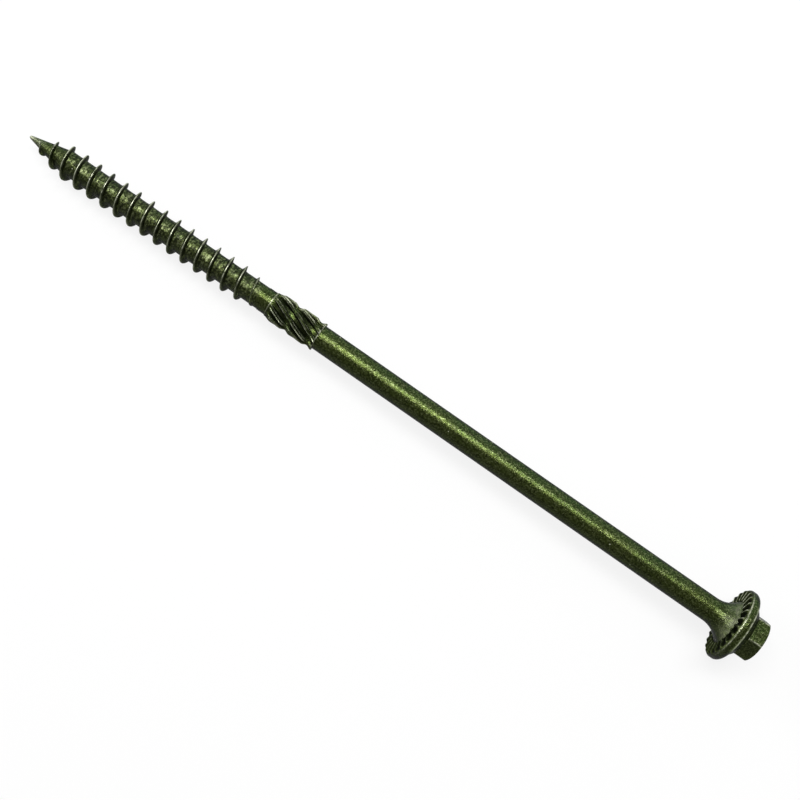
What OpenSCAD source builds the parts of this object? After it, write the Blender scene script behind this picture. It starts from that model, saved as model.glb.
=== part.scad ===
// Hex flange timber screw, one cold-headed and thread-rolled piece of steel.
// It is modelled point down on its own axis and then laid down as it comes to rest:
// the flange rim and one thread crest near the point touch the plane z = 0.
// The head end is at +X, one hex corner faces +Z, and the origin is under the middle.

/* [Lengths] */
// tip of the point to the underside of the flange, mm
length_under_head = 160; // [120:1:240]
// length of the conical point, mm
point_len = 8.6; // [6:0.2:11]
// length of the blunt nose at the very tip, mm
nose_len = 0.35; // [0.1:0.05:0.35]
// tip to the last full turn of the thread, mm
thread_len = 48.2; // [36:0.2:60]
// length over which the thread fades out, mm
runout_len = 6; // [3:0.5:8]
// plain stretch between the thread and the shank cutter, mm
stem_len = 1.9; // [1:0.1:4]
// length of the shank cutter, mm
cutter_len = 10.9; // [7:0.1:14]

/* [Diameters] */
// outside diameter of the thread, mm
thread_d = 6.8; // [6.2:0.1:7.6]
// core diameter between the threads, mm
core_d = 4.68; // [4.2:0.04:4.8]
// diameter of the blunt nose where the cone begins, mm
nose_d = 0.7; // [0.4:0.02:0.9]
// outside diameter of the shank cutter, mm
cutter_d = 5.9; // [5.7:0.05:6.4]
// diameter of the smooth shank, mm
shank_d = 4.95; // [4.6:0.05:5.3]
// diameter of the lip at the top of the neck, mm
collar_d = 9.1; // [8:0.1:9.6]
// diameter of the flange, mm
flange_d = 14.7; // [13.6:0.1:17]
// width of the hexagon across its flats, mm
hex_af = 8; // [7:0.1:9]

/* [Thread] */
// advance of the thread in one turn, mm
thread_pitch = 3.08; // [2.7:0.02:3.4]
// width of the crest, mm
crest_w = 0.12; // [0.08:0.02:0.3]
// slope of the flank that faces the point, degrees from square to the axis
point_flank = 23; // [18:1:32]
// slope of the flank that faces the head, degrees from square to the axis
head_flank = 16; // [12:1:26]
// how far the core dips between two turns, mm
core_dip = 0.03; // [0.02:0.01:0.12]
// distance from the tip at which the thread starts, mm
thread_start = 2.6; // [2.4:0.1:3.6]

/* [Shank cutter] */
// number of helical ribs
cutter_ribs = 9; // [7:1:10]
// advance of a rib in one full turn, mm
cutter_lead = 40; // [30:1:60]
// share of a rib's spacing that its land takes
cutter_land = 0.32; // [0.24:0.02:0.46]
// length over which the ribs rise at the point end, mm
cutter_rise = 1.7; // [1:0.1:3]
// depth of the grooves below the stem, mm
cutter_sink = 0.22; // [0.05:0.01:0.3]
// depth of the two waists that cross the ribs, mm
cutter_waist = 0.36; // [0:0.02:0.4]

/* [Head] */
// radius of the hollow arc of the neck, mm
neck_arc_r = 5.1; // [3.6:0.1:6.4]
// height of the lip between the neck and the flange, mm
collar_h = 0.15; // [0.1:0.05:1]
// thickness of the flange at its rim, mm
rim_t = 2.1; // [1.9:0.05:2.6]
// radius of the rim's rounded edge on the underside, mm
rim_under_r = 0.55; // [0.3:0.05:0.75]
// radius of the rim's rounded edge on the top, mm
rim_top_r = 1.2; // [0.6:0.05:1.3]
// rise of the flange from the rim to the hexagon, mm
flange_rise = 1.2; // [0.6:0.05:1.8]
// underside of the flange to the end of the hexagon, mm
head_h = 6.4; // [5.4:0.1:8]
// radius that rounds the end of the hexagon, mm
hex_round = 1.1; // [0.6:0.05:1.4]
// number of ridges on the underside of the flange
ridge_count = 24; // [18:1:30]
// height of a ridge, mm
ridge_h = 0.36; // [0.2:0.01:0.5]
// width of a ridge where it meets the flange, mm
ridge_w = 0.95; // [0.6:0.05:1.1]

/* [Finish] */
// steps in one turn of the thread
turn_steps = 20; // [16:4:32]
// segments in the round surfaces
round_steps = 72; // [48:8:96]

/* [Hidden] */
$fn = round_steps;

coat = "#3c4f20";

core_r = core_d / 2;
thread_r = thread_d / 2;
stem_step = 0.08;
stem_r = core_r + stem_step;
shank_r = shank_d / 2;
cutter_r = cutter_d / 2;
collar_r = collar_d / 2;
flange_r = flange_d / 2;
hex_corner_r = hex_af / 2 / cos(30);
nose_r = nose_d / 2;
lap = 0.5;

// stations along the axis, from the tip
thread_end = thread_len + runout_len;
stem_z = thread_end + 0.1;
cutter_z = thread_end + stem_len;
shank_z = cutter_z + cutter_len;
collar_z = length_under_head - collar_h;
neck_len = sqrt(pow(neck_arc_r, 2) - pow(neck_arc_r - (collar_r - shank_r), 2));
neck_z = collar_z - neck_len;
rim_top_z = length_under_head + rim_t;
slope_top_z = rim_top_z + flange_rise;
head_z = length_under_head + head_h;

// thread: depth at full height, widths of its flanks and place of its crest in a pitch
crest_h = thread_r - core_r;
point_flank_w = crest_h * tan(point_flank);
head_flank_w = crest_h * tan(head_flank);
flank_min_w = 0.1;
crest_mid = (thread_pitch + point_flank_w - head_flank_w) / 2;
start_turn = 0.4;
start_rise = 0.9;
start_share = 0.62;
row_count = 5;
first = floor(start_turn * turn_steps) - 1;
last = ceil(turn_steps * (start_turn + (thread_end - thread_start) / thread_pitch));
columns = last - first + 1;

// a smooth step from 0 to 1 between a and b
function ease(x, a, b) =
  let (t = min(1, max(0, (x - a) / (b - a))))
  t * t * (3 - 2 * t);

// radius of the bare core at height z
function core_at(z) = min(core_r, nose_r + (core_r - nose_r) * (z - nose_len) / (point_len - nose_len));

// turns of station j: half a step off the lowest line, so that a flat of the crest lies on the plane
half_step = 0.5;
function turn_at(j) = 360 * (j + half_step) / turn_steps;

// height of the crest line at station j, and its depth there as a share of the full depth
function crest_z(j) = thread_start + thread_pitch * ((j + half_step) / turn_steps - start_turn);
function depth_at(z) =
  (start_share * ease(z, thread_start, thread_start + start_rise)
    + (1 - start_share) * ease(z, thread_start + start_rise, point_len))
  * (1 - ease(z, thread_len, thread_end));

// where row k of a station lies in the pitch: root, point flank, crest edges, head flank
function flank_w(full, depth) = flank_min_w + (full - flank_min_w) * depth;
function row_z(k, depth) =
  k == 0 ? -crest_mid :
  k == 1 ? -crest_w / 2 - flank_w(point_flank_w, depth) :
  k == 2 ? -crest_w / 2 :
  k == 3 ? crest_w / 2 :
  crest_w / 2 + flank_w(head_flank_w, depth);
function row_r(k, z, depth) =
  k == 0 ? core_at(z) - core_dip * depth :
  k == 2 || k == 3 ? core_at(z) + crest_h * depth :
  core_at(z);

function on_axis(r, a, z) = [r * cos(a), r * sin(a), z];
function thread_point(j, k) =
  let (depth = depth_at(crest_z(j)))
  let (z = crest_z(j) + row_z(k, depth))
  on_axis(row_r(k, z, depth), turn_at(j), z);

// place in the list of points of row k of station j; past the last column only roots are left
function at(j, k = 0) =
  j <= last ? (j - first) * row_count + k :
  columns * row_count + j - last - 1;
tip_at = columns * row_count + turn_steps;
function ring_at(i) = tip_at + 1 + (i % turn_steps);
ring_z = crest_z(last + turn_steps) - crest_mid + lap / 2;
function nose_at(i) = tip_at + 1 + turn_steps + (i % turn_steps);

// two triangles over four points: lower left, lower right, upper right, upper left
function quad(a, b, c, d) = [[a, d, c], [a, c, b]];
function quad_short(a, b, c, d) = [[a, d, b], [b, d, c]];

// index of the point above row k of station j
function above(j, k) = k < row_count - 1 ? at(j, k + 1) : at(j + turn_steps);

thread_points = concat(
  [for (j = [first:last]) for (k = [0:row_count - 1]) thread_point(j, k)],
  [for (j = [last + 1:last + turn_steps]) thread_point(j, 0)],
  [[0, 0, 0]],
  [for (i = [0:turn_steps - 1]) on_axis(core_r, turn_at(last + i), ring_z)],
  [for (i = [0:turn_steps - 1]) on_axis(nose_r, turn_at(first + i), nose_len)]
);
flank_faces = [
  for (j = [first:last - 1]) for (k = [0:row_count - 1])
    for (f = quad(at(j, k), at(j + 1, k), above(j + 1, k), above(j, k))) f
];
point_faces = concat(
  [for (i = [0:turn_steps - 1]) [tip_at, nose_at(i), nose_at(i + 1)]],
  [
    for (i = [0:turn_steps - 2])
      for (f = quad(nose_at(i), nose_at(i + 1), at(first + i + 1), at(first + i))) f
  ],
  quad(nose_at(turn_steps - 1), nose_at(0), at(first), at(first + turn_steps - 1)),
  [for (k = [0:row_count - 1]) [at(first, k), at(first + turn_steps - 1), above(first, k)]]
);
end_faces = concat(
  [for (k = [0:row_count - 1]) [at(last, k), above(last, k), at(last + 1)]],
  [[at(last + turn_steps), ring_at(0), at(last + 1)]],
  [[ring_at(0), ring_at(1), at(last + 1)]],
  [
    for (i = [1:turn_steps - 1])
      for (f = quad(at(last + i), at(last + i + 1), ring_at(i + 1), ring_at(i))) f
  ],
  [[for (i = [turn_steps - 1:-1:0]) ring_at(i)]]
);

// cutter: places of a rib's five points in its spacing, and the share of height of each
rib_rise = 0.12;
rib_gap = 1 - cutter_land - 2 * rib_rise;
rib_place = [0, rib_gap, rib_gap + rib_rise, rib_gap + rib_rise + cutter_land / 2, 1 - rib_rise];
rib_share = [0, 0, 1, 0.76, 1];
rib_points = len(rib_place);
rim_points = cutter_ribs * rib_points;
rings = 20;
rib_turn = -8;
waist_w = 1.1;
waist_places = [0.44, 0.9];
floor_lip = 0.06;
end_floor_r = (max(stem_r, shank_r) + floor_lip) / cos(180 * rib_gap / cutter_ribs);
sink_end = 0.9;

// the first and last ring lie inside the stem and the shank, level with the cutter's ends
inner_r = min(stem_r, shank_r) - lap;
function cutter_ring_z(i) = cutter_z + cutter_len * min(rings, max(0, i - 1)) / rings;
function floor_at(z) =
  end_floor_r - (end_floor_r - stem_r + cutter_sink)
  * ease(z, cutter_z, cutter_z + cutter_rise)
  * (1 - ease(z, shank_z - sink_end, shank_z));
function waist_at(z) =
  max([for (p = waist_places) 1 - ease(abs(z - cutter_z - p * cutter_len), 0, waist_w)])
  * ease(shank_z - z, 0, sink_end / 2);
function land_at(z) =
  end_floor_r + (cutter_r - end_floor_r) * ease(z, cutter_z, cutter_z + cutter_rise)
  - cutter_waist * waist_at(z);
function cutter_point(i, m) =
  let (z = cutter_ring_z(i))
  let (k = m % rib_points)
  let (rib = floor(m / rib_points))
  let (r = i == 0 || i == rings + 2 ? inner_r : floor_at(z) + (land_at(z) - floor_at(z)) * rib_share[k])
  on_axis(r, rib_turn + 360 * ((rib + rib_place[k]) / cutter_ribs + (z - cutter_z) / cutter_lead), z);
function cutter_at(i, m) = i * rim_points + (m % rim_points);
cutter_points = [for (i = [0:rings + 2]) for (m = [0:rim_points - 1]) cutter_point(i, m)];
cutter_faces = concat(
  [
    for (i = [0:rings + 1]) for (m = [0:rim_points - 1])
      for (f = quad_short(cutter_at(i, m), cutter_at(i, m + 1), cutter_at(i + 1, m + 1), cutter_at(i + 1, m))) f
  ],
  [[for (m = [0:rim_points - 1]) cutter_at(0, m)]],
  [[for (m = [rim_points - 1:-1:0]) cutter_at(rings + 2, m)]]
);

// rest: the lowest crest under full depth and the rim of the flange lie on one plane
rest_turn = ceil((point_len - crest_z(0)) / thread_pitch);
rest_z = crest_z(rest_turn * turn_steps - 1) - crest_w / 2;
rest_r = thread_r * cos(180 / turn_steps);
edge_r = flange_r - rim_under_r;
edge_z = length_under_head + rim_under_r;
shoulder_r = flange_r - rim_top_r;
shoulder_z = rim_top_z - rim_top_r;
rest_dz = edge_z - rest_z;
rest_dr = edge_r - rest_r;
lean = atan2(rest_dr, rest_dz) + asin(rim_under_r / norm([rest_dr, rest_dz]));
rest_lift = rest_r * cos(lean) - rest_z * sin(lean);
hex_flat_r = hex_corner_r - hex_round;
reach = head_z * cos(lean) + hex_flat_r * sin(lean);

module point_and_thread() {
  polyhedron(points = thread_points, faces = concat(flank_faces, point_faces, end_faces));
}

module shank_cutter() {
  polyhedron(points = cutter_points, faces = cutter_faces);
}

// stem, shank, hollow neck and collar, turned
module shank() {
  translate([0, 0, stem_z])
    cylinder(r = stem_r, h = cutter_z + lap - stem_z);
  rotate_extrude() {
    translate([0, shank_z - lap])
      square([shank_r, collar_z - shank_z + 2 * lap]);
    difference() {
      translate([0, neck_z])
        square([collar_r, neck_len]);
      translate([shank_r + neck_arc_r, neck_z])
        circle(r = neck_arc_r);
    }
    translate([0, collar_z])
      square([collar_r, collar_h + lap]);
  }
}

// flange with a rounded rim and a slope up to the hexagon
module flange() {
  rotate_extrude() {
    translate([0, length_under_head])
      square([edge_r, shoulder_z - length_under_head]);
    translate([0, edge_z])
      square([flange_r, shoulder_z - edge_z]);
    translate([edge_r, edge_z])
      circle(r = rim_under_r);
    translate([0, shoulder_z])
      square([shoulder_r, rim_top_r]);
    translate([shoulder_r, shoulder_z])
      intersection() {
        circle(r = rim_top_r);
        square(rim_top_r);
      }
    translate([0, rim_top_z])
      polygon([[0, 0], [shoulder_r, 0], [hex_corner_r, flange_rise], [0, flange_rise]]);
  }
}

// one ridge: a bar with sloping sides that lies along a radius of the underside
module ridge() {
  ridge_in = collar_r - lap;
  ridge_out = edge_r;
  root = 0.2;
  crest_w2 = ridge_w / 5;
  foot_w2 = ridge_w / 2;
  root_w2 = foot_w2 + root * (foot_w2 - crest_w2) / ridge_h;
  translate([ridge_in, 0, length_under_head])
    rotate([90, 0, 90])
      linear_extrude(height = ridge_out - ridge_in)
        polygon([[-root_w2, root], [-crest_w2, -ridge_h], [crest_w2, -ridge_h], [root_w2, root]]);
}

module ridges() {
  intersection() {
    for (i = [0:ridge_count - 1])
      rotate([0, 0, 360 * (i + 0.5) / ridge_count])
        ridge();
    translate([0, 0, length_under_head - ridge_h - lap])
      cylinder(r1 = edge_r - ridge_h - lap, r2 = edge_r + lap, h = ridge_h + 2 * lap);
  }
}

// hexagon with its far corners rounded off
module hexagon() {
  intersection() {
    translate([0, 0, length_under_head + lap])
      cylinder(r = hex_corner_r, h = head_h - lap, $fn = 6);
    rotate_extrude() {
      translate([0, length_under_head])
        square([hex_corner_r + lap, head_h - hex_round]);
      translate([0, head_z - hex_round - lap])
        square([hex_flat_r, hex_round + lap]);
      translate([hex_flat_r, head_z - hex_round])
        circle(r = hex_round);
    }
  }
}

module screw() {
  color(coat)
    translate([-reach / 2, 0, rest_lift])
      rotate([0, 90 - lean, 0]) {
        point_and_thread();
        shank_cutter();
        rotate([0, 0, 180 / ridge_count])
          shank();
        flange();
        ridges();
        hexagon();
      }
}

screw();
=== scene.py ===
import bpy
import math
from mathutils import Matrix, Vector


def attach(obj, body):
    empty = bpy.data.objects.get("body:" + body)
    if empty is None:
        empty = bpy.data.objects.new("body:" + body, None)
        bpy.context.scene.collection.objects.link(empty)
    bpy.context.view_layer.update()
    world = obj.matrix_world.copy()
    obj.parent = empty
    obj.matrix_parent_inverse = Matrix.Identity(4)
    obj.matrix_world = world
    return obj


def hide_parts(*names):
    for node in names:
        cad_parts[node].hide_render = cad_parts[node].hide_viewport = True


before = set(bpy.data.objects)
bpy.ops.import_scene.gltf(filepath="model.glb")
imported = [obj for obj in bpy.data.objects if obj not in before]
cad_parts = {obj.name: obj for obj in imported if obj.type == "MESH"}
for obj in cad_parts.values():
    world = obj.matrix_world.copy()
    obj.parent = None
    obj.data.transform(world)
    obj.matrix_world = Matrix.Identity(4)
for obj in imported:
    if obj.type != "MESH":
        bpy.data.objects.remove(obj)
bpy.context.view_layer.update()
mm = 0.001

# what a user would change on the screw; lengths in millimetres, measured along its own axis from the tip
screw = {
    "length": 160.0,          # tip to the underside of the flange
    "pointLength": 8.6,
    "noseLength": 0.35,       # blunt nose at the very tip
    "noseRadius": 0.35,
    "threadLength": 48.2,     # tip to the last full turn
    "runout": 6.0,            # the thread fades over this length
    "stem": 1.9,              # plain stretch before the cutter
    "cutterLength": 10.9,
    "threadRadius": 3.4,      # to the corners of the crest in the CAD
    "coreRadius": 2.34,
    "cutterRadius": 2.95,
    "shankRadius": 2.475,
    "collarRadius": 4.55,     # lip at the top of the neck
    "flangeRadius": 7.35,
    "acrossFlats": 8.0,       # of the hexagon
    "pitch": 3.08,
    "crestWidth": 0.12,
    "pointFlank": 23.0,       # degrees from square to the axis
    "headFlank": 16.0,
    "coreDip": 0.03,          # how far rolling sinks the root
    "threadStart": 2.6,
    "startTurn": 0.4,         # where round the screw the thread starts
    "cutterRibs": 9,
    "cutterLead": 40.0,       # one whole turn of a rib
    "cutterLand": 0.32,       # share of a rib's spacing that its flat top takes
    "cutterSlope": 0.12,      # and that each of its sides takes
    "cutterTurn": -8,         # degrees round the screw
    "cutterRise": 1.7,        # the ribs grow over this length
    "cutterSink": 0.22,       # depth of the grooves below the stem
    "cutterWaist": 0.36,      # depth of the two waists across the ribs
    "waistWidth": 1.1,
    "waistPlaces": (0.44, 0.9),
    "neckArc": 5.1,           # radius of the flare
    "collarHeight": 0.15,
    "rimThickness": 2.1,
    "rimUnder": 0.55,         # radius of the rim's edge on the underside
    "rimTop": 1.2,            # and on the top
    "flangeRise": 1.2,
    "headHeight": 6.4,
    "hexRound": 1.1,
    "ridges": 24,
    "ridgeHeight": 0.36,
    "ridgeWidth": 0.95,
    "tipWear": 0.8,           # shares of pale marks: bare metal on the point,
    "neckWearGlint": 0.2,          # rubbed metal at the top of the neck, partly a painted pale tone for its highlight,
    "rimGlint": 1.0,           # painted glints on the two edges of the rim
    "grooveShade": 0.85,      # shares of painted shade: in the cutter's grooves
    "flankShade": 0.65,       # and on the flanks of the thread, most on those that face the head
}

# segments of the mesh
around = 120                  # points in one turn of the thread, cutter and shank
headAround = 240              # points in one turn of the flange and the hexagon


def smooth(x, a, b):
    t = min(1.0, max(0.0, (x - a) / (b - a)))
    return t * t * (3 - 2 * t)


def linear(hexText):
    parts = [int(hexText[i:i + 2], 16) / 255 for i in (1, 3, 5)]
    return tuple(c / 12.92 if c <= 0.04045 else ((c + 0.055) / 1.055) ** 2.4 for c in parts)


stemRadius = screw["coreRadius"] + 0.08
threadEnd = screw["threadLength"] + screw["runout"]
cutterZ = threadEnd + screw["stem"]
shankZ = cutterZ + screw["cutterLength"]
collarZ = screw["length"] - screw["collarHeight"]
neckRise = screw["collarRadius"] - screw["shankRadius"]
neckLength = math.sqrt(screw["neckArc"] ** 2 - (screw["neckArc"] - neckRise) ** 2)
neckZ = collarZ - neckLength
rimTopZ = screw["length"] + screw["rimThickness"]
headZ = screw["length"] + screw["headHeight"]
hexCorner = screw["acrossFlats"] / 2 / math.cos(math.radians(30))
cornerHeight = screw["threadRadius"] - screw["coreRadius"]
pointFlankWidth = cornerHeight * math.tan(math.radians(screw["pointFlank"]))
headFlankWidth = cornerHeight * math.tan(math.radians(screw["headFlank"]))
crestMiddle = (screw["pitch"] + pointFlankWidth - headFlankWidth) / 2

# the screw lies on one thread crest and the flange rim, as in the CAD, whose crest has 20 sides
cadSteps = 20
crestZero = screw["threadStart"] - screw["pitch"] * screw["startTurn"]
restTurn = math.ceil((screw["pointLength"] - crestZero) / screw["pitch"])
restZ = crestZero + (restTurn - 0.5 / cadSteps) * screw["pitch"] - screw["crestWidth"] / 2
restR = screw["threadRadius"] * math.cos(math.pi / cadSteps)
edgeR = screw["flangeRadius"] - screw["rimUnder"]
restRise = screw["length"] + screw["rimUnder"] - restZ
restOut = edgeR - restR
lean = math.atan2(restOut, restRise) + math.asin(screw["rimUnder"] / math.hypot(restOut, restRise))
lift = restR * math.cos(lean) - restZ * math.sin(lean)
reach = headZ * math.cos(lean) + (hexCorner - screw["hexRound"]) * math.sin(lean)
crestHeight = restR - screw["coreRadius"]    # a round crest through the middles of the CAD's flats
along = Vector((math.cos(lean), 0, math.sin(lean)))
down = Vector((math.sin(lean), 0, -math.cos(lean)))
side = Vector((0, 1, 0))
tip = Vector((-reach / 2, 0, lift))


# a point of the screw, given along its own axes, as it lies on the floor
def lying(x, y, z):
    return (tip + down * x + side * y + along * z) * mm


# radius of the core, which tapers to the nose
def coreAt(z):
    nose, rn = screw["noseLength"], screw["noseRadius"]
    taper = (screw["coreRadius"] - rn) / (screw["pointLength"] - nose)
    return min(screw["coreRadius"], rn + taper * (z - nose))


# where the crest of the thread is after j steps round it
def crestZ(j):
    return screw["threadStart"] + screw["pitch"] * (j / around - screw["startTurn"])


# share of its full height that the thread has: it grows quickly, then along the point, and runs out
def depthAt(z):
    start, rise, share = screw["threadStart"], 0.9, 0.62
    quick = smooth(z, start, start + rise)
    slow = smooth(z, start + rise, screw["pointLength"])
    grow = share * quick + (1 - share) * slow
    return grow * (1 - smooth(z, screw["threadLength"], threadEnd)) ** 0.75


# one pitch of the thread, from root to root: place, dip, height and pale marks (rubbed metal and painted
# glint) of each row
def threadRows(depth):
    half = screw["crestWidth"] / 2
    pw = 0.1 + (pointFlankWidth - 0.1) * depth
    hw = 0.1 + (headFlankWidth - 0.1) * depth
    dip = screw["coreDip"] * depth
    fillet = 0.22 * depth + 0.02
    rows = [
        (-crestMiddle, -dip, 0, 0),
        (-half - pw - 0.55, -dip * 0.8, 0, 0),
        (-half - pw - fillet * 0.8, -dip * 0.3, 0, 0),
        (-half - pw - fillet * 0.15, 0.0, 0.03, 0),
        (-half - pw * 0.86, 0.0, 0.15, 0),
        (-half - pw * 0.5, 0.0, 0.5, 0),
        (-half - pw * 0.12, 0.0, 0.9, 0.5),
        (-half * 0.9, 0.0, 0.99, 1),
        (0.0, 0.0, 1.0, 1),
        (half * 0.9, 0.0, 0.99, 1),
        (half + hw * 0.12, 0.0, 0.9, 0.2),
        (half + hw * 0.5, 0.0, 0.5, 0),
        (half + hw * 0.86, 0.0, 0.15, 0),
        (half + hw + fillet * 0.15, 0.0, 0.03, 0),
        (half + hw + fillet * 0.8, -dip * 0.3, 0, 0),
        (half + hw + 0.6, -dip * 0.8, 0, 0),
    ]
    return rows


rowCount = len(threadRows(1.0))
verts = []
faces = []
wearAndGlint = []                     # pale rubbed metal, and painted glints on edges
paintedShade = []                    # painted shade in grooves, between ridges, on flanks and at the foot of the hexagon
roots = []                    # rolled surface between the turns of the thread
angles = []


def addPoint(r, a, z, rubbedAndGlint=0.0, shadeShare=0.0, rolled=0.0):
    verts.append(lying(r * math.cos(a), r * math.sin(a), z))
    wearAndGlint.append(rubbedAndGlint)
    paintedShade.append(shadeShare)
    roots.append(rolled)
    angles.append(a)
    return len(verts) - 1


# a face from points in order, of which any may be the same
def addFace(*points):
    kept = []
    for p in points:
        if p not in kept:
            kept.append(p)
    if len(kept) > 2:
        faces.append(tuple(kept))


# the thread is one helical strip whose last row meets the next turn's first row; it ends in a plain ring
def buildThread():
    first = math.floor(screw["startTurn"] * around) - 5
    last = math.ceil(around * (screw["startTurn"] + (threadEnd - screw["threadStart"]) / screw["pitch"]))
    endZ = threadEnd + 0.05
    index = {}
    endRing = [addPoint(screw["coreRadius"], 2 * math.pi * i / around, endZ) for i in range(around)]
    for j in range(first, last + around + 1):
        depth = depthAt(crestZ(j))
        rows = threadRows(depth)
        for k in range(rowCount if j <= last else 1):
            dz, dip, share, edge = rows[k]
            z = crestZ(j) + dz
            if z > endZ - 0.02:
                index[j, k] = endRing[j % around]
            else:
                r = coreAt(z) + dip + crestHeight * depth * share
                rolled = (1 - share) * smooth(z, 3, 10) * smooth(depth, 0, 0.5)
                rubbedAndGlint = max(edge * depth, screw["tipWear"] * (1 - smooth(z, 0, 4.5)))
                shadeShare = 0.0
                # painted shade on the flanks, most on those that face the head, away from the lamp at the
                # tip end
                if 0.1 < share < 0.95:
                    shadeShare = screw["flankShade"] * depth * (1 if dz > 0 else 0.15)
                index[j, k] = addPoint(r, 2 * math.pi * j / around, z, rubbedAndGlint, shadeShare, rolled)

    def above(j, k):
        return index[j, k + 1] if k < rowCount - 1 else index[j + around, 0]

    for j in range(first, last):
        for k in range(rowCount):
            addFace(index[j, k], index[j + 1, k], above(j + 1, k), above(j, k))

    # the nose: a small dome, then a ring that meets the start of the strip
    start = 2 * math.pi * first / around
    apex = addPoint(0, 0, 0, screw["tipWear"])
    dome = None
    fullBow = math.radians(80)
    for t in (0.25, 0.5, 0.75, 1.0):
        r = screw["noseRadius"] * math.sin(fullBow * t) / math.sin(fullBow)
        z = screw["noseLength"] * (1 - math.cos(fullBow * t)) / (1 - math.cos(fullBow))
        row = plainRing(r, z, start, rubbedAndGlint=screw["tipWear"])
        if dome is None:
            for i in range(around):
                addFace(apex, row[(i + 1) % around], row[i])
        else:
            bridge(dome, row)
        dome = row
    for i in range(around - 1):
        addFace(dome[i], dome[i + 1], index[first + i + 1, 0], index[first + i, 0])
    addFace(dome[around - 1], dome[0], index[first, 0], index[first + around - 1, 0])
    for k in range(rowCount):
        addFace(index[first, k], above(first, k), index[first + around - 1, 0])

    # the end of the strip, closed against the plain ring
    for k in range(rowCount):
        addFace(index[last, k], index[last + 1, 0], above(last, k))
    for j in range(last + 1, last + around):
        addFace(index[j, 0], index[j + 1, 0], endRing[(j + 1) % around], endRing[j % around])
    addFace(endRing[last % around], index[last + 1, 0], endRing[(last + 1) % around])
    return endRing, 0.0, endZ


# joins two rings of the same count
def bridge(low, high):
    n = len(low)
    for i in range(n):
        addFace(low[i], low[(i + 1) % n], high[(i + 1) % n], high[i])
    return high


# joins two rings of different counts with triangles, walking round both by angle
def knit(low, high):
    full = 2 * math.pi
    base = angles[low[0]]

    def near(p):
        return (angles[p] - base + math.pi) % full - math.pi

    first = min(range(len(high)), key=lambda k: abs(near(high[k])))
    turned = high[first:] + high[:first]
    lowAngles = [(angles[p] - base) % full for p in low] + [full]
    highAngles = [near(turned[0])]
    for p in turned[1:]:
        highAngles.append((angles[p] - base) % full)
    highAngles.append(highAngles[0] + full)
    i = j = 0
    while i < len(low) or j < len(high):
        if i < len(low) and (j == len(high) or lowAngles[i + 1] <= highAngles[j + 1]):
            addFace(low[i], low[(i + 1) % len(low)], turned[j % len(high)])
            i += 1
        else:
            addFace(low[i % len(low)], turned[(j + 1) % len(high)], turned[j])
            j += 1
    return high


# a round ring of points, from the angle start
def plainRing(r, z, start, n=around, rubbedAndGlint=0.0, shadeShare=0.0):
    return [addPoint(r, start + 2 * math.pi * i / n, z, rubbedAndGlint, shadeShare) for i in range(n)]


# the points in one rib's spacing: place, height and pale edge marks (rubbed metal and painted glint), with a
# shallow dip along the top of the rib
def ribSpacing():
    land = screw["cutterLand"]
    rise = screw["cutterSlope"]
    gap = 1 - land - 2 * rise
    e = 0.012                 # half width of a softened edge
    a, b, c = gap, gap + rise, gap + rise + land
    return [
        (0.0, 0.0, 0), (gap * 0.3, -0.03, 0), (gap * 0.7, -0.03, 0), (a - e, 0.0, 0), (a + e, 0.1, 0),
        ((a + b) / 2, 0.5, 0), (b - e * 2, 0.9, 0.2), (b, 1.0, 1), (b + land * 0.3, 0.66, 0.0),
        (b + land * 0.7, 0.66, 0.0), (c, 1.0, 1), (c + e * 2, 0.9, 0.2), ((c + 1) / 2, 0.45, 0),
        (1 - e * 2.4, 0.1, 0), (1 - e * 1.2, 0.03, 0),
    ]


# how deep the waists across the ribs are at one place, from 0 to 1
def waistAt(z):
    near = 0.0
    for place in screw["waistPlaces"]:
        away = abs(z - cutterZ - place * screw["cutterLength"])
        near = max(near, 1 - smooth(away, 0, screw["waistWidth"]))
    return near * smooth(shankZ - z, 0, 0.45)


# the plain stem, then the ribs of the cutter on their steep helix, with pale lines at both ends: rubbed
# metal and painted glint
def buildCutter(ring, start, z):
    ribs = screw["cutterRibs"]
    gap = 1 - screw["cutterLand"] - 2 * screw["cutterSlope"]
    endFloor = (max(stemRadius, screw["shankRadius"]) + 0.06) / math.cos(math.pi * gap / ribs)
    fullDepth = screw["cutterRadius"] - endFloor
    spacing = ribSpacing()
    stemSteps = 8
    stemZ = z + 0.05
    for i in range(stemSteps + 1):
        ring = bridge(ring, plainRing(stemRadius, stemZ + (cutterZ - 0.03 - stemZ) * i / stemSteps, start))
    rings = 110
    for i in range(rings + 1):
        zi = cutterZ + screw["cutterLength"] * i / rings
        grown = smooth(zi, cutterZ, cutterZ + screw["cutterRise"])
        sunk = grown * (1 - smooth(zi, shankZ - 0.9, shankZ))
        floor = endFloor - (endFloor - stemRadius + screw["cutterSink"]) * sunk
        land = endFloor + fullDepth * grown - screw["cutterWaist"] * waistAt(zi)
        depth = (land - endFloor) / fullDepth
        ends = max(1 - abs(zi - cutterZ) / 0.25, 1 - abs(shankZ - zi) / 0.25, 0)
        turned = math.radians(screw["cutterTurn"]) + 2 * math.pi * (zi - cutterZ) / screw["cutterLead"]
        row = []
        for rib in range(ribs):
            for f, share, edge in spacing:
                a = turned + 2 * math.pi * (rib + f) / ribs
                # painted shade in the grooves, fading up the sides of the ribs
                dark = screw["grooveShade"] * depth * smooth(1 - share, 0.05, 0.4)
                rubbedAndGlint = max(edge * depth, 0.8 * ends)
                row.append(addPoint(floor + (land - floor) * share, a, zi, rubbedAndGlint, dark))
        ring = knit(ring, row) if i == 0 else bridge(ring, row)
    return ring


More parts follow.
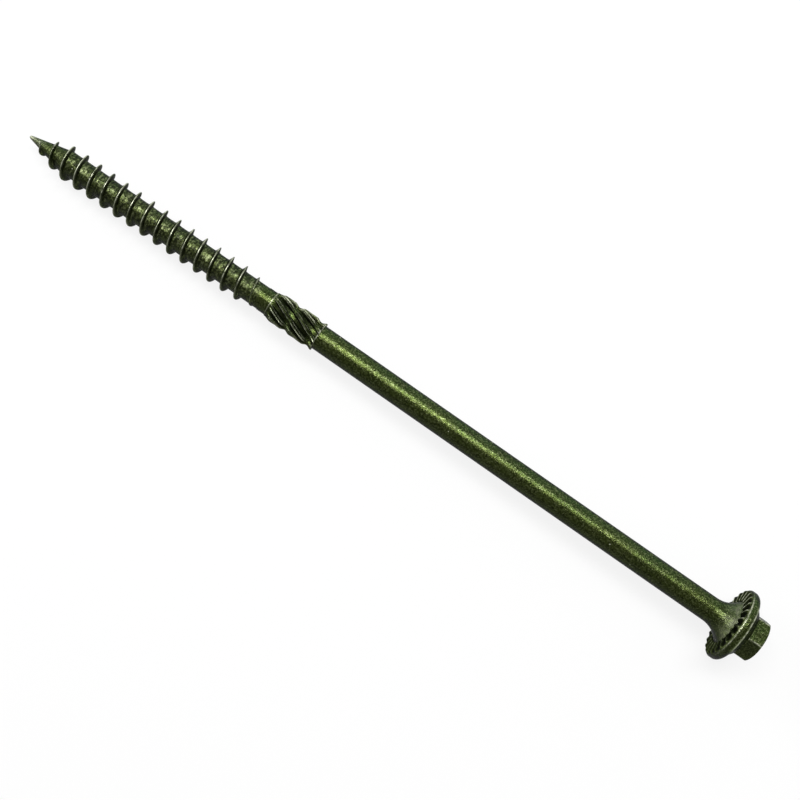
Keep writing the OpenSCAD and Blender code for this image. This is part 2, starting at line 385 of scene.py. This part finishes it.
# the plain shank and the flared neck
def buildShank(ring):
    sr = screw["shankRadius"]
    ring = knit(ring, plainRing(sr, shankZ + 0.02, 0))
    steps = 60
    for i in range(1, steps + 1):
        ring = bridge(ring, plainRing(sr, shankZ + 0.02 + (neckZ - shankZ - 0.02) * i / steps, 0))
    arc = screw["neckArc"]
    sweep = math.asin(neckLength / arc)
    for i in range(1, 33):
        t = sweep * i / 32
        # pale rubbed metal near the collar, partly a painted pale tone for the neck's highlight
        rubbedAndGlint = screw["neckWearGlint"] * smooth(i, 8, 30)
        ring = bridge(ring, plainRing(sr + arc * (1 - math.cos(t)), neckZ + arc * math.sin(t), 0, rubbedAndGlint=rubbedAndGlint))
    return ring


# one ring of the ridged underside, ten points to a ridge: dark with painted shade, with a thin pale line on
# each crest of rubbed metal and painted glint
def ridgeRing(r, height, z):
    period = 2 * math.pi / screw["ridges"]
    half = screw["ridgeWidth"] / 2
    crest = screw["ridgeWidth"] / 11
    e = 0.03                  # half width of a softened edge
    marks = [
        (-half - e, 0.0, 0), (-half + e, 0.1, 0), (-crest - 2 * e, 0.85, 0), (-crest + e, 1.0, 1),
        (crest - e, 1.0, 1), (crest + 2 * e, 0.85, 0), (half - e, 0.1, 0), (half + e, 0.0, 0),
    ]
    row = []
    for k in range(screw["ridges"]):
        middle = (k + 0.5) * period
        keySideGlint = 0.2 + 0.8 * smooth(math.sin(middle), 0.1, 0.6)    # painted glint: the crest lines are drawn brighter on the +Y side, towards the key lamp
        # painted shade fills the gaps between ridges and their sides, all but the crest
        row.append(addPoint(r, middle - period / 2, z, 0, height))
        for m, share, edge in marks:
            top = z - screw["ridgeHeight"] * height * share
            shadeShare = height * (1 - share ** 6)
            row.append(addPoint(r, middle + m / r, top, edge * height * keySideGlint, shadeShare))
        row.append(addPoint(r, middle + half / r * 0.5 + period / 4, z, 0, height))
    return row


# how far the hexagon reaches at one angle, with its corners softened, inside a circle of radius r
def hexRadius(a, r):
    sector = (a % (math.pi / 3)) - math.pi / 6
    flat = screw["acrossFlats"] / 2 / math.cos(sector)
    soft = hexCorner - 0.09
    limit = min(flat, soft + (flat - soft) * 0.35) if flat > soft else flat
    return min(limit, r)


# one ring of the hexagon, widened by its foot where it meets the flange
def hexRing(r, z, foot=0.0):
    row = []
    for i in range(headAround):
        a = 2 * math.pi * i / headAround     # the six corners are rubbed pale
        rubbedAndGlint = smooth(hexRadius(a, 99), hexCorner - 0.1, hexCorner - 0.06)
        row.append(addPoint(hexRadius(a, r) + foot, a, z, rubbedAndGlint))
    return row


# collar, ridged underside, rounded rim, sloping top and hexagon
def buildHead(ring):
    collar = screw["collarRadius"]
    under = screw["length"]
    ring = bridge(ring, plainRing(collar, collarZ + 0.04, 0, rubbedAndGlint=0.4))
    full = collar + 0.22                     # the ridges have their full height from here
    radii = [(collar + 0.02, 0.0), (collar + 0.1, 0.9), (full, 1.0)]
    for i in range(1, 7):
        radii.append((full + (edgeR - 0.6 - full) * i / 6, 1.0))
    radii += [(edgeR - 0.2, 0.95), (edgeR - 0.08, 0.85), (edgeR, 0.75)]
    for i, (r, height) in enumerate(radii):
        row = ridgeRing(r, height, under)
        ring = knit(ring, row) if i == 0 else bridge(ring, row)
    edge, top = screw["rimUnder"], screw["rimTop"]
    for t, height in ((0.2, 0.55), (0.4, 0.32), (0.6, 0.1), (0.7, 0.0)):
        ring = bridge(ring, ridgeRing(edgeR + edge * math.sin(t), height, under + edge * (1 - math.cos(t))))

    outer = screw["flangeRadius"] - 0.02     # keeps the round rim inside the faceted one of the CAD
    shoulder = screw["flangeRadius"] - top
    rim = []
    # painted glints along the rim's lower and upper edges
    for i in range(6, 13):
        t = math.pi / 2 * i / 12
        rubbedAndGlint = screw["rimGlint"] * (1 - smooth(abs(t - 1.0), 0, 0.4))
        rim.append((edgeR + edge * math.sin(t), under + edge * (1 - math.cos(t)), rubbedAndGlint, 0))
    for i in range(17):
        t = math.pi / 2 * i / 16
        rubbedAndGlint = screw["rimGlint"] * (1 - smooth(abs(t - 0.75), 0, 0.3))
        # painted shade where the rim's top turns towards the hexagon, and on the slope up to it
        shadeShare = 0.35 * smooth(t, 1.1, 1.5)
        rim.append((shoulder + top * math.cos(t), rimTopZ - top + top * math.sin(t), rubbedAndGlint, shadeShare))
    for i in range(1, 9):
        z = rimTopZ + (screw["flangeRise"] - 0.02) * i / 8
        rim.append((shoulder + (hexCorner + 0.1 - shoulder) * i / 8, z, 0, 0.35))
    for i, (r, z, rubbedAndGlint, shadeShare) in enumerate(rim):
        row = plainRing(min(r, outer), z, 0, headAround, rubbedAndGlint, shadeShare)
        for j, point in enumerate(row):      # painted glint: the rim's pale marks are brightest on top and fade round the sides
            wearAndGlint[point] *= 0.15 + 0.85 * smooth(-math.cos(2 * math.pi * j / headAround), 0.15, 0.85)
        ring = knit(ring, row) if i == 0 else bridge(ring, row)

    hexBottom = rimTopZ + screw["flangeRise"]
    ring = bridge(ring, hexRing(99, hexBottom, 0.14))
    ring = bridge(ring, hexRing(99, hexBottom + 0.04, 0.05))
    straight = headZ - screw["hexRound"]
    low = hexBottom + 0.14
    for i in range(9):
        ring = bridge(ring, hexRing(99, low + (straight - low) * i / 8))
    hexEnd = hexCorner - screw["hexRound"]
    for i in range(1, 19):
        t = math.pi / 2 * i / 18
        r = hexEnd + screw["hexRound"] * math.cos(t)
        ring = bridge(ring, hexRing(r, straight + screw["hexRound"] * math.sin(t)))
    for f in (0.9, 0.6, 0.3):
        ring = bridge(ring, plainRing(hexEnd * f, headZ, 0, headAround))
    centre = addPoint(0, 0, headZ)
    for i in range(headAround):
        addFace(ring[i], ring[(i + 1) % headAround], centre)


ring, startAngle, ringZ = buildThread()
ring = buildCutter(ring, startAngle, ringZ)
ring = buildShank(ring)
buildHead(ring)

mesh = bpy.data.meshes.new("screwBody")
mesh.from_pydata(verts, [], faces)
mesh.validate()
for attributeName, values in (("wearAndGlint", wearAndGlint), ("paintedShade", paintedShade), ("root", roots)):
    attribute = mesh.attributes.new(attributeName, "FLOAT", "POINT")
    attribute.data.foreach_set("value", values)
mesh.polygons.foreach_set("use_smooth", [True] * len(mesh.polygons))
mesh.set_sharp_from_angle(angle=math.radians(34))
body = bpy.data.objects.new("screwBody", mesh)
bpy.context.scene.collection.objects.link(body)
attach(body, "root")
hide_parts("screw")
print("mesh", len(verts), "points", sum(len(f) - 2 for f in faces), "triangles")


# one node with its settings (properties, or unlinked sockets by name or number) and its links
def addNode(tree, kind, settings, links=None):
    node = tree.nodes.new(kind)
    for name, value in settings.items():
        if isinstance(name, int) or name in node.inputs:
            node.inputs[name].default_value = value
        else:
            setattr(node, name, value)
    for name, source in (links or {}).items():
        tree.links.new(source, node.inputs[name])
    return node


def newMaterial(name):
    material = bpy.data.materials.new(name)
    material.use_nodes = True
    return material, material.node_tree, material.node_tree.nodes["Principled BSDF"]


# the finish of the screw
coat = {
    "olive": "#46521f",        # the coat where it faces up
    "green": "#28421c",        # and greener: a painted green cast on the side that faces the lamps, and broad patches
    "brown": "#303417",        # thin patches
    "pale": "#8f976f",         # flecks and rolled marks
    "grey": "#4f5040",         # rolled roots of the thread
    "dark": "#12150b",         # residue
    "rubbedAndGlint": "#c2c6ae",         # flecks and rolled marks, and painted shade in grooves and on the side away from the light
    "grazing": "#5a6650",      # what the coat keeps of its reflection at a grazing angle
    "metallic": 0.88,
    "wornMetallic": 0.45,
    "roughLow": 0.2,
    "roughHigh": 0.3,
    "shadeAndRootRough": 0.25,        # what painted shade, dark rolled marks and rolled roots add to the roughness
    "clear": 0.12,             # share of the clear top layer, which whitens the sheen; none where shade is painted
    "clearRoughness": 0.22,
    # share of the pale marks kept on the +Y side, towards the lamps; towards -Y it falls to 0.3, a painted
    # glint
    "litSideWearGlint": 0.9,
    "shaded": 0.7,             # how far the side away from the light darkens
    "broad": 9.0,              # sizes of the patterns, in millimetres: broad patches,
    "mottle": 1.1,             # mottling,
    "marks": 0.55,             # rolled marks,
    "turning": 0.35,           # fine marks that run round the screw,
    "turningShare": 0.45,      # (their share in the rolled marks)
    "grain": 0.3,              # pigment, drawn coarser than the real one so that the picture shows it,
    "peel": 0.9,               # the unevenness of the coat,
    "dotCell": 2.6,            # and small bare dots, at most one in each cell of this size
    "dotRadius": 0.16,
    "dotShare": 0.4,           # of the cells that carry a dot
    "peelDepth": 0.035,        # depths of the bumps, in millimetres
    "grainDepth": 0.06,
    "rootDepth": 0.16,
}


# olive metallic coat over cold-rolled steel: a soft broken sheen, mottled and flecked, with a painted green
# cast on the side that faces the lamps, painted shade on the other side and in the grooves, and thin pale
# lines on the edges, of rubbed metal and painted glint
def coatedSteel():
    material, tree, bsdf = newMaterial("olive metallic coat on rolled steel")
    places = addNode(tree, "ShaderNodeTexCoord", {}).outputs
    spot = places["Object"]
    bare = addNode(tree, "ShaderNodeAttribute", {"attribute_name": "wearAndGlint"}).outputs["Fac"]
    meshShade = addNode(tree, "ShaderNodeAttribute", {"attribute_name": "paintedShade"}).outputs["Fac"]
    root = addNode(tree, "ShaderNodeAttribute", {"attribute_name": "root"}).outputs["Fac"]
    facing = addNode(tree, "ShaderNodeSeparateXYZ", {}, {0: places["Normal"]}).outputs["Y"]
    sideways = addNode(tree, "ShaderNodeSeparateXYZ", {}, {0: spot}).outputs["Y"]
    stretched = addNode(tree, "ShaderNodeMapping", {"Scale": (1.0, 0.18, 0.18)}, {0: spot}).outputs[0]

    # the patterns: where each is measured, its detail and its roughness
    pattern = {}
    for name, source, detail, roughness in (
        ("broad", spot, 2.0, 0.5), ("mottle", spot, 3.0, 0.6), ("marks", spot, 1.0, 0.5),
        ("turning", stretched, 1.0, 0.5), ("grain", spot, 2.0, 0.7), ("peel", spot, 2.0, 0.5),
    ):
        settings = {"Scale": 1 / (coat[name] * mm), "Detail": detail, "Roughness": roughness}
        pattern[name] = addNode(tree, "ShaderNodeTexNoise", settings, {"Vector": source}).outputs["Fac"]
    mottle, grain = pattern["mottle"], pattern["grain"]
    settings = {"operation": "MULTIPLY", 1: coat["turningShare"]}
    turning = addNode(tree, "ShaderNodeMath", settings, {0: pattern["turning"]}).outputs[0]
    settings = {"operation": "MULTIPLY_ADD", 1: 1 - coat["turningShare"]}
    marks = addNode(tree, "ShaderNodeMath", settings, {0: pattern["marks"], 2: turning}).outputs[0]

    # small bare dots in some of the cells
    settings = {"Scale": 1 / (coat["dotCell"] * mm)}
    cells = addNode(tree, "ShaderNodeTexVoronoi", settings, {"Vector": spot}).outputs
    chance = addNode(tree, "ShaderNodeSeparateColor", {}, {0: cells["Color"]}).outputs["Red"]
    settings = {"operation": "LESS_THAN", 1: coat["dotShare"]}
    chosen = addNode(tree, "ShaderNodeMath", settings, {0: chance}).outputs[0]
    dot = coat["dotRadius"] / coat["dotCell"]

    # each level is a source, the range read from it and the range it is turned into
    level = {}
    for name, source, low, high, start, end in (
        # a painted green cast on the side that faces the lamps
        ("paintedGreenCast", facing, 0.15, 0.8, 0, 0.8),
        ("greenPatch", pattern["broad"], 0.35, 0.65, -0.15, 0.15),
        ("brown", mottle, 0.45, 0.7, 0, 0.6),
        ("darkFleck", grain, 0.36, 0.52, 0.7, 0),
        ("paleFleck", grain, 0.52, 0.68, 0, 0.5),
        ("greyRoot", root, 0, 1, 0, 0.15),
        ("darkMark", marks, 0.5, 0.58, 0, 0.7),
        ("paleMark", marks, 0.44, 0.38, 0, 0.5),
        ("brokenWearGlint", mottle, 0.4, 0.56, 0.3, 1),
        # the pale marks fade away from the lamps, towards -Y: a painted glint
        ("sideGlint", sideways, 0, -5 * mm, coat["litSideWearGlint"], 0.3),
        ("dot", cells["Distance"], dot * 0.5, dot, 1, 0),
        # painted shade on the side away from the lamps
        ("shaded", facing, -0.3, -0.55, 0, coat["shaded"]),
        ("clear", meshShade, 0, 1, coat["clear"], 0),
        ("rough", mottle, 0.3, 0.7, coat["roughLow"], coat["roughHigh"]),
        ("roughRoot", root, 0, 1, 0, 0.5),
        ("rootDepth", root, 0, 1, 0, coat["rootDepth"]),
    ):
        settings = {"From Min": low, "From Max": high, "To Min": start, "To Max": end}
        level[name] = addNode(tree, "ShaderNodeMapRange", settings, {"Value": source}).outputs["Result"]

    # levels combined, two at a time and in this order
    level.update({"bare": bare, "meshShade": meshShade, "root": root, "marks": marks, "chosen": chosen})
    for name, operation, first, second in (
        ("green", "ADD", "paintedGreenCast", "greenPatch"),
        ("darkMark", "MULTIPLY", "root", "darkMark"),
        ("paleMark", "MULTIPLY", "root", "paleMark"),
        ("rubbedAndGlint", "MULTIPLY", "bare", "brokenWearGlint"),
        ("rubbedAndGlint", "MULTIPLY", "rubbedAndGlint", "sideGlint"),
        ("dot", "MULTIPLY", "dot", "chosen"),
        ("rubbedAndGlint", "MAXIMUM", "rubbedAndGlint", "dot"),
        ("rougher", "MAXIMUM", "darkMark", "meshShade"),
        ("rougher", "MAXIMUM", "rougher", "roughRoot"),
        ("rolled", "MULTIPLY", "marks", "rootDepth"),
    ):
        settings = {"operation": operation, "use_clamp": True}
        links = {0: level[first], 1: level[second]}
        level[name] = addNode(tree, "ShaderNodeMath", settings, links).outputs[0]

    # the colours, each laid over those before it, with painted shade, a painted green cast and painted
    # glints among them
    colour = None
    for amount, name in (
        ("green", "green"), ("brown", "brown"), ("darkFleck", "dark"), ("paleFleck", "pale"),
        ("greyRoot", "grey"), ("darkMark", "dark"), ("paleMark", "pale"), ("meshShade", "dark"),
        ("rubbedAndGlint", "rubbedAndGlint"), ("shaded", "dark"),
    ):
        settings = {"data_type": "RGBA", 6: (*linear(coat["olive"]), 1), 7: (*linear(coat[name]), 1)}
        links = {0: level[amount]}
        if colour:
            links[6] = colour
        colour = addNode(tree, "ShaderNodeMix", settings, links).outputs[2]
    tree.links.new(colour, bsdf.inputs["Base Color"])

    settings = {"From Min": 0, "From Max": 1, "To Min": coat["metallic"], "To Max": coat["wornMetallic"]}
    metallic = addNode(tree, "ShaderNodeMapRange", settings, {"Value": level["rubbedAndGlint"]})
    tree.links.new(metallic.outputs["Result"], bsdf.inputs["Metallic"])
    settings = {"operation": "MULTIPLY_ADD", 1: coat["shadeAndRootRough"]}
    rough = addNode(tree, "ShaderNodeMath", settings, {0: level["rougher"], 2: level["rough"]})
    tree.links.new(rough.outputs[0], bsdf.inputs["Roughness"])
    bsdf.inputs["Specular Tint"].default_value = (*linear(coat["grazing"]), 1)
    tree.links.new(level["clear"], bsdf.inputs["Coat Weight"])
    bsdf.inputs["Coat Roughness"].default_value = coat["clearRoughness"]

    # bumps: the uneven coat, the rolled roots of the thread and the pigment
    normal = None
    bumps = ((pattern["peel"], coat["peelDepth"]), (level["rolled"], 1.0), (grain, coat["grainDepth"]))
    for height, depth in bumps:
        settings = {"Distance": depth * mm, "Strength": 1.0}
        links = {"Height": height}
        if normal:
            links["Normal"] = normal
        normal = addNode(tree, "ShaderNodeBump", settings, links).outputs["Normal"]
    tree.links.new(normal, bsdf.inputs["Normal"])
    tree.links.new(normal, bsdf.inputs["Coat Normal"])
    return material


body.data.materials.append(coatedSteel())
print("coat of the screw done")


# the studio: places and sizes are in metres, and the radiance of each lamp is relative to white
studio = {
    "reach": 2.2,              # from the middle of the floor to where it curves up
    "bend": 0.4,               # radius of the curve
    "wall": 0.9,
    "floor": "#6e6e6e",
    "glow": 0.83,              # the table's own light, which keeps the object's shadow faint
    "world": 0.22,
    "key": {"place": (-0.15, 0.37, 0.71), "size": (0.74, 0.2), "radiance": 10.2},
    "side": {"place": (0.0, 1.1, 0.75), "size": (1.8, 0.6), "radiance": 0.45},
    "tipEnd": {"place": (-1.1, 0.12, 0.55), "size": (0.7, 0.4), "radiance": 3.2},
}


# a pale floor that curves up into a low wall all round
def buildStage():
    reachOut, bend, wall = studio["reach"], studio["bend"], studio["wall"]
    steps, sides = 10, 48
    profile = [(reachOut, 0.0)]
    for i in range(1, steps + 1):
        t = math.pi / 2 * i / steps
        profile.append((reachOut + bend * math.sin(t), bend * (1 - math.cos(t))))
    profile.append((reachOut + bend, wall))
    points = [(0, 0, 0)]
    for r, z in profile:
        for k in range(sides):
            a = 2 * math.pi * k / sides
            points.append((r * math.cos(a), r * math.sin(a), z))
    polygons = [(0, 1 + k, 1 + (k + 1) % sides) for k in range(sides)]
    for row in range(len(profile) - 1):
        base = 1 + row * sides
        for k in range(sides):
            n = (k + 1) % sides
            polygons.append((base + k, base + k + sides, base + n + sides, base + n))
    stageMesh = bpy.data.meshes.new("floor")
    stageMesh.from_pydata(points, [], polygons)
    stageMesh.polygons.foreach_set("use_smooth", [True] * len(stageMesh.polygons))
    stage = bpy.data.objects.new("floor", stageMesh)
    bpy.context.scene.collection.objects.link(stage)

    # the top of a light table: even and without gloss, so that only a soft shadow shows on it
    material, tree, bsdf = newMaterial("matt white acrylic")
    bsdf.inputs["Base Color"].default_value = (*linear(studio["floor"]), 1)
    bsdf.inputs["Roughness"].default_value = 0.95
    bsdf.inputs["Specular IOR Level"].default_value = 0.1
    bsdf.inputs["Emission Color"].default_value = (1, 1, 1, 1)
    bsdf.inputs["Emission Strength"].default_value = studio["glow"]
    stageMesh.materials.append(material)


def addLamp(name):
    settings = studio[name]
    width, length = settings["size"]
    data = bpy.data.lights.new(name, "AREA")
    data.shape = "RECTANGLE"
    data.size = width
    data.size_y = length
    data.energy = 4 * width * length * settings["radiance"]    # a larger lamp stays as bright to look at
    lamp = bpy.data.objects.new(name, data)
    lamp.location = settings["place"]
    lamp.rotation_mode = "QUATERNION"
    lamp.rotation_quaternion = (-Vector(settings["place"])).to_track_quat("-Z", "Y")
    bpy.context.scene.collection.objects.link(lamp)


buildStage()
for lampName in ("key", "side", "tipEnd"):
    addLamp(lampName)
world = bpy.data.worlds.new("studio")
world.use_nodes = True
background = world.node_tree.nodes["Background"]
background.inputs["Color"].default_value = (1, 1, 1, 1)
background.inputs["Strength"].default_value = studio["world"]
bpy.context.scene.world = world
print("studio done")

# the camera as fitted to the photo; lengths in millimetres, angles in degrees, places in pixels of 800
photo = {
    "focal": 1200.0,           # in pixels
    "distance": 225.14,
    "slope": 34.826,           # of the screw's axis in the picture, down to the right
    "tilt": 1.8,               # of the screw's head towards the lens
    "roundTurn": 4.8,          # the camera stands a little to the +Y side of the screw
    "tipPixel": -454.2,        # the point, along the axis from the middle of the picture
    "offPixel": 5.3,           # and the axis, across it
}
slope, tilt, roundTurn = (math.radians(photo[name]) for name in ("slope", "tilt", "roundTurn"))

# the screw's axes as the camera sees them, and as they lie in the world
axisCam = Vector((math.cos(tilt) * math.cos(slope), -math.cos(tilt) * math.sin(slope), math.sin(tilt)))
towardCam = (Vector((0, 0, 1)) - axisCam * axisCam.z).normalized()
camAxes = Matrix((axisCam, towardCam, axisCam.cross(towardCam))).transposed()
upWorld = -down * math.cos(roundTurn) + side * math.sin(roundTurn)
worldAxes = Matrix((along, upWorld, along.cross(upWorld))).transposed()
turn = worldAxes @ camAxes.transposed()

# the point of the axis nearest the picture's middle, and where the camera sees it
tipShare = photo["tipPixel"] / photo["focal"]
tipAlong = tipShare * photo["distance"] / (math.cos(tilt) + tipShare * math.sin(tilt))
middle = tip - along * tipAlong
offset = photo["offPixel"] * photo["distance"] / photo["focal"]
middleCam = Vector((offset * math.sin(slope), offset * math.cos(slope), -photo["distance"]))

cameraData = bpy.data.cameras.new("camera")
cameraData.sensor_width = 36
cameraData.lens = photo["focal"] * 36 / 800
cameraData.clip_start = 0.01
cameraData.clip_end = 20
camera = bpy.data.objects.new("camera", cameraData)
camera.matrix_world = Matrix.Translation((middle - turn @ middleCam) * mm) @ turn.to_4x4()
bpy.context.scene.collection.objects.link(camera)
bpy.context.scene.camera = camera
bpy.context.scene.view_settings.view_transform = "Standard"
print("camera done")
